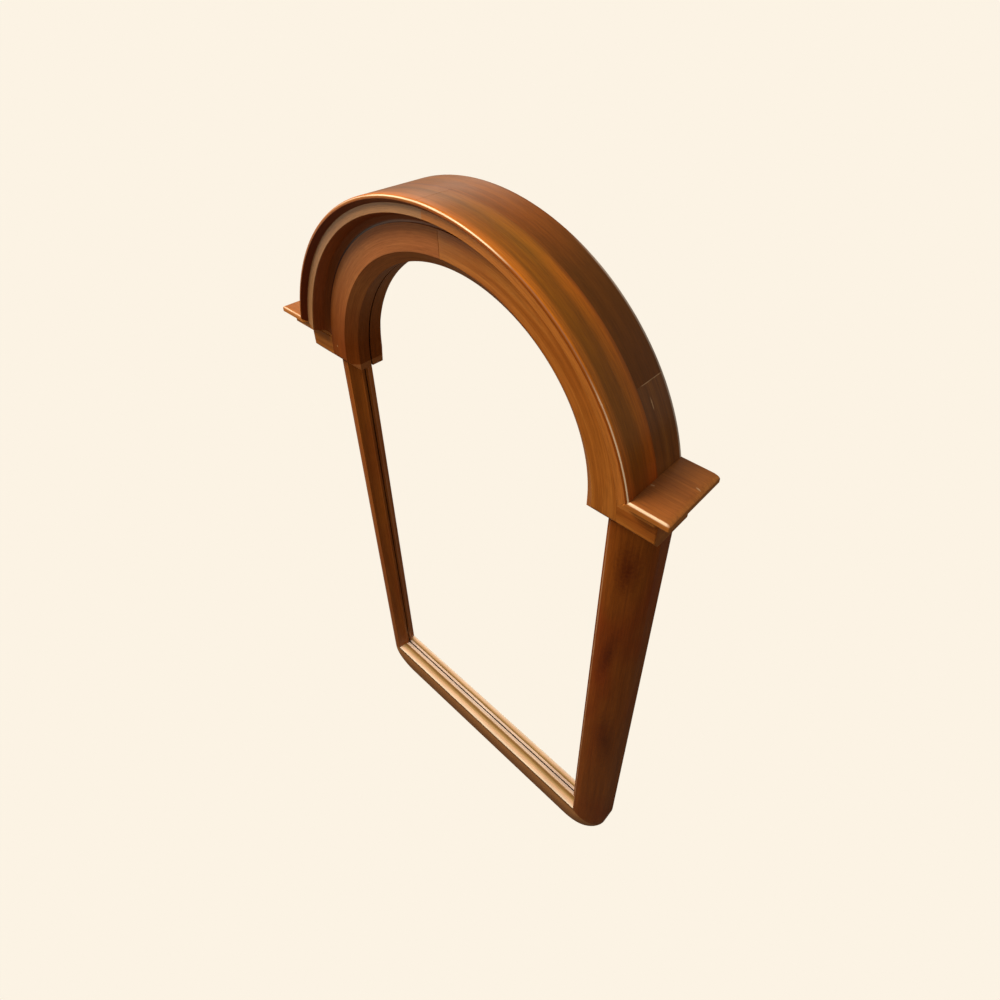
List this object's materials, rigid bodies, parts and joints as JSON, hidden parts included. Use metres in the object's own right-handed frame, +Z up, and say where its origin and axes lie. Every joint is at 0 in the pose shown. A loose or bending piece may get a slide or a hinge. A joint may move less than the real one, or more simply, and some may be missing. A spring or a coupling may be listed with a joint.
{
  "type": "wall mirror",
  "caption": "Arched wall mirror in dark hardwood with a deep projecting hood over the arch, level ears on imposts, rounded stiles and rail, and D-ring hangers.",
  "frame": {"origin": "centre of the arch on the plane of the frame's back, midway between the two hangers", "axes": "+Z up, +X to the viewer's right, +Y towards the wall, so the front faces -Y"},
  "size_m": [0.6774, 0.1034, 1.179],
  "materials": {
    "hood_front_right": "stained hardwood, glossy varnish",
    "hood_front_left": "stained hardwood, glossy varnish",
    "hood_back_right": "stained hardwood, glossy varnish",
    "hood_back_left": "stained hardwood, glossy varnish",
    "hood_back_crown": "stained hardwood, glossy varnish",
    "ear_right": "stained hardwood, glossy varnish",
    "ear_left": "stained hardwood, glossy varnish",
    "arch_face_right": "stained hardwood, glossy varnish",
    "arch_face_left": "stained hardwood, glossy varnish",
    "impost_right": "stained hardwood, glossy varnish",
    "impost_left": "stained hardwood, glossy varnish",
    "stile_right": "stained hardwood, glossy varnish",
    "stile_left": "stained hardwood, glossy varnish",
    "bottom_rail": "stained hardwood, glossy varnish",
    "batten_right": "plain softwood, unfinished",
    "batten_left": "plain softwood, unfinished",
    "batten_bottom": "plain softwood, unfinished",
    "arch_blocks": "plain softwood, unfinished",
    "mirror_glass": "silvered float glass",
    "backing_board": "brown hardboard",
    "hanger_strap_right": "zinc plated",
    "hanger_strap_left": "zinc plated",
    "hanger_ring_right": "zinc plated",
    "hanger_ring_left": "zinc plated",
    "felt_pads": "pressed felt",
    "dowels": "plain softwood, unfinished",
    "batten_screws": "dull brass",
    "hanger_screws": "zinc plated"
  },
  "bodies": {
    "frame": {"hood_front_right": "hood_front_right", "hood_front_left": "hood_front_left", "hood_back_right": "hood_back_right", "hood_back_left": "hood_back_left", "hood_back_crown": "hood_back_crown", "ear_right": "ear_right", "ear_left": "ear_left", "arch_face_right": "arch_face_right", "arch_face_left": "arch_face_left", "impost_right": "impost_right", "impost_left": "impost_left", "stile_right": "stile_right", "stile_left": "stile_left", "bottom_rail": "bottom_rail", "batten_right": "batten_right", "batten_left": "batten_left", "batten_bottom": "batten_bottom", "arch_blocks": "arch_blocks", "mirror_glass": "mirror_glass", "backing_board": "backing_board", "hanger_strap_right": "hanger_strap_right", "hanger_strap_left": "hanger_strap_left", "felt_pads": "felt_pads", "dowels": "dowels", "batten_screws": "batten_screws", "hanger_screws": "hanger_screws"},
    "ring_right": {"hanger_ring_right": "hanger_ring_right"},
    "ring_left": {"hanger_ring_left": "hanger_ring_left"}
  },
  "joints": [
    {"name": "ring_right_swing", "type": "hinge", "parent": "frame", "child": "ring_right", "pos_m": [0.271, 0.00286, 0], "axis": [1, 0, 0], "range_deg": [0, 180]},
    {"name": "ring_left_swing", "type": "hinge", "parent": "frame", "child": "ring_left", "pos_m": [-0.271, 0.00286, 0], "axis": [1, 0, 0], "range_deg": [0, 180]}
  ]
}
